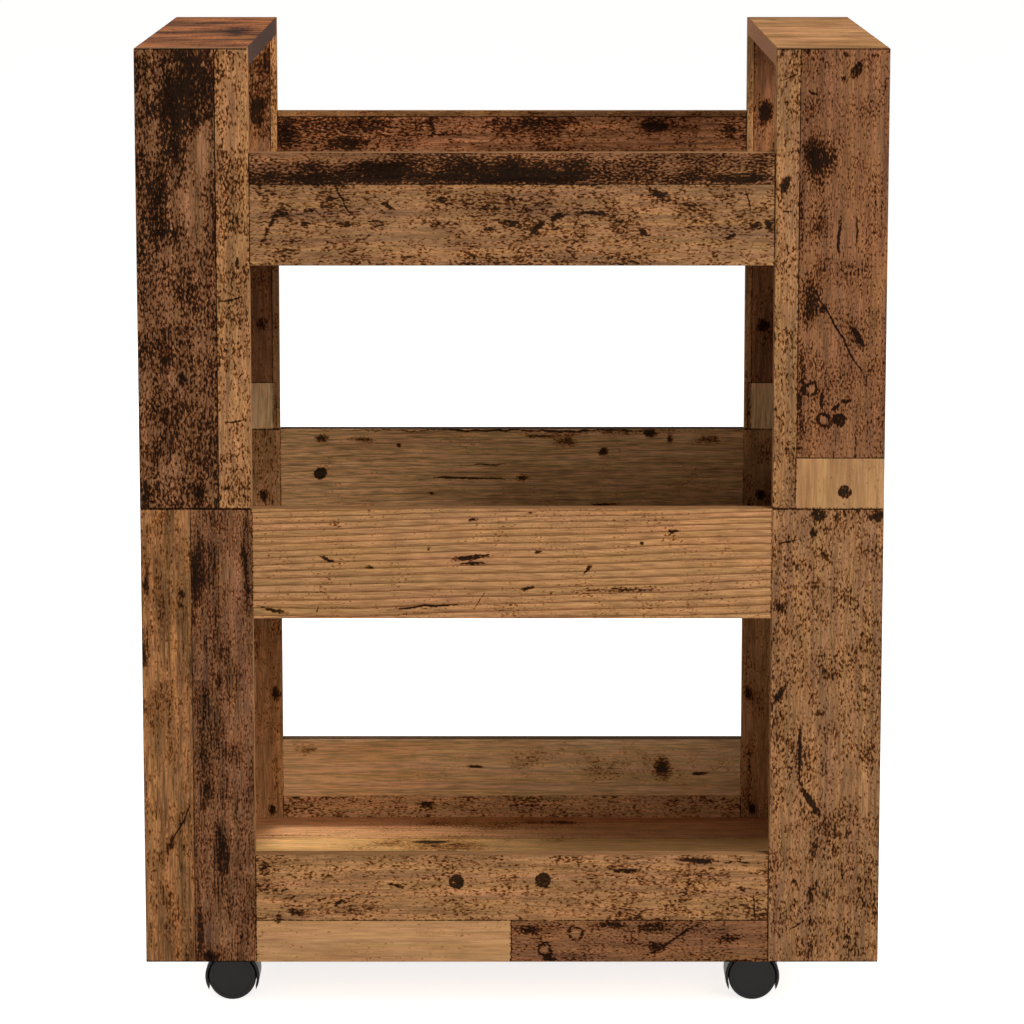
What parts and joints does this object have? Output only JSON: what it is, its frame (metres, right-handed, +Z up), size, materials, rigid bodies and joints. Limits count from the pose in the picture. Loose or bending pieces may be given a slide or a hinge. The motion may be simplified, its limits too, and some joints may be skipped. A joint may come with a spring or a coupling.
{
  "type": "kitchen cart",
  "caption": "Open kitchen cart with stacked trays between board side frames, flat push handles on top and hooded twin-wheel swivel casters.",
  "frame": {"origin": "on the floor under the middle of the cart", "axes": "+Z up, -Y towards the front, +X towards the right handle as seen from the front"},
  "size_m": [0.6, 0.45, 0.8],
  "materials": {
    "aged_wood_laminate": "printed old-wood laminate, satin",
    "beech": "turned, raw",
    "zinc_steel": "bright zinc plated",
    "zinc_alloy": "die cast",
    "spring_steel": "oiled",
    "natural_nylon": "moulded",
    "black_nylon": "moulded, fine texture",
    "black_polypropylene": "moulded, satin"
  },
  "bodies": {
    "cart": {"left_side_panel_lower": "aged_wood_laminate", "front_left_leg_lower": "aged_wood_laminate", "rear_left_leg_lower": "aged_wood_laminate", "left_side_panel_upper": "aged_wood_laminate", "front_left_leg_upper": "aged_wood_laminate", "rear_left_leg_upper": "aged_wood_laminate", "left_handle": "aged_wood_laminate", "right_side_panel_lower": "aged_wood_laminate", "front_right_leg_lower": "aged_wood_laminate", "rear_right_leg_lower": "aged_wood_laminate", "right_side_panel_upper": "aged_wood_laminate", "front_right_leg_upper": "aged_wood_laminate", "rear_right_leg_upper": "aged_wood_laminate", "right_handle": "aged_wood_laminate", "lower_tray_front": "aged_wood_laminate", "lower_tray_rear": "aged_wood_laminate", "lower_deck": "aged_wood_laminate", "middle_tray_front": "aged_wood_laminate", "middle_tray_rear": "aged_wood_laminate", "middle_deck": "aged_wood_laminate", "upper_tray_front": "aged_wood_laminate", "upper_tray_rear": "aged_wood_laminate", "upper_deck": "aged_wood_laminate", "wood_dowels": "beech", "cam_bolts": "zinc_steel", "cam_locks": "zinc_alloy", "caster_screws": "zinc_steel", "swivel_washers": "natural_nylon", "stem_grip_rings": "spring_steel", "caster_front_left_plate": "zinc_steel", "caster_front_left_stem": "zinc_steel", "caster_front_right_plate": "zinc_steel", "caster_front_right_stem": "zinc_steel", "caster_rear_left_plate": "zinc_steel", "caster_rear_left_stem": "zinc_steel", "caster_rear_right_plate": "zinc_steel", "caster_rear_right_stem": "zinc_steel"},
    "caster_front_left": {"caster_front_left_hood": "black_nylon", "caster_front_left_axle": "zinc_steel"},
    "caster_front_left_wheel_front": {"caster_front_left_wheel_front": "black_polypropylene"},
    "caster_front_left_wheel_rear": {"caster_front_left_wheel_rear": "black_polypropylene"},
    "caster_front_right": {"caster_front_right_hood": "black_nylon", "caster_front_right_axle": "zinc_steel"},
    "caster_front_right_wheel_front": {"caster_front_right_wheel_front": "black_polypropylene"},
    "caster_front_right_wheel_rear": {"caster_front_right_wheel_rear": "black_polypropylene"},
    "caster_rear_left": {"caster_rear_left_hood": "black_nylon", "caster_rear_left_axle": "zinc_steel"},
    "caster_rear_left_wheel_front": {"caster_rear_left_wheel_front": "black_polypropylene"},
    "caster_rear_left_wheel_rear": {"caster_rear_left_wheel_rear": "black_polypropylene"},
    "caster_rear_right": {"caster_rear_right_hood": "black_nylon", "caster_rear_right_axle": "zinc_steel"},
    "caster_rear_right_wheel_front": {"caster_rear_right_wheel_front": "black_polypropylene"},
    "caster_rear_right_wheel_rear": {"caster_rear_right_wheel_rear": "black_polypropylene"}
  },
  "joints": [
    {"name": "caster_front_left_swivel", "type": "hinge", "parent": "cart", "child": "caster_front_left", "pos_m": [-0.218, -0.135, 0.045], "axis": [0, 0, 1], "continuous": true},
    {"name": "caster_front_left_wheel_front_spin", "type": "hinge", "parent": "caster_front_left", "child": "caster_front_left_wheel_front", "pos_m": [-0.2345, -0.135, 0.02], "axis": [0, 1, 0], "continuous": true},
    {"name": "caster_front_left_wheel_rear_spin", "type": "hinge", "parent": "caster_front_left", "child": "caster_front_left_wheel_rear", "pos_m": [-0.2345, -0.135, 0.02], "axis": [0, 1, 0], "continuous": true},
    {"name": "caster_front_right_swivel", "type": "hinge", "parent": "cart", "child": "caster_front_right", "pos_m": [0.218, -0.135, 0.045], "axis": [0, 0, 1], "continuous": true},
    {"name": "caster_front_right_wheel_front_spin", "type": "hinge", "parent": "caster_front_right", "child": "caster_front_right_wheel_front", "pos_m": [0.2015, -0.135, 0.02], "axis": [0, 1, 0], "continuous": true},
    {"name": "caster_front_right_wheel_rear_spin", "type": "hinge", "parent": "caster_front_right", "child": "caster_front_right_wheel_rear", "pos_m": [0.2015, -0.135, 0.02], "axis": [0, 1, 0], "continuous": true},
    {"name": "caster_rear_left_swivel", "type": "hinge", "parent": "cart", "child": "caster_rear_left", "pos_m": [-0.218, 0.135, 0.045], "axis": [0, 0, 1], "continuous": true},
    {"name": "caster_rear_left_wheel_front_spin", "type": "hinge", "parent": "caster_rear_left", "child": "caster_rear_left_wheel_front", "pos_m": [-0.2345, 0.135, 0.02], "axis": [0, 1, 0], "continuous": true},
    {"name": "caster_rear_left_wheel_rear_spin", "type": "hinge", "parent": "caster_rear_left", "child": "caster_rear_left_wheel_rear", "pos_m": [-0.2345, 0.135, 0.02], "axis": [0, 1, 0], "continuous": true},
    {"name": "caster_rear_right_swivel", "type": "hinge", "parent": "cart", "child": "caster_rear_right", "pos_m": [0.218, 0.135, 0.045], "axis": [0, 0, 1], "continuous": true},
    {"name": "caster_rear_right_wheel_front_spin", "type": "hinge", "parent": "caster_rear_right", "child": "caster_rear_right_wheel_front", "pos_m": [0.2015, 0.135, 0.02], "axis": [0, 1, 0], "continuous": true},
    {"name": "caster_rear_right_wheel_rear_spin", "type": "hinge", "parent": "caster_rear_right", "child": "caster_rear_right_wheel_rear", "pos_m": [0.2015, 0.135, 0.02], "axis": [0, 1, 0], "continuous": true}
  ]
}
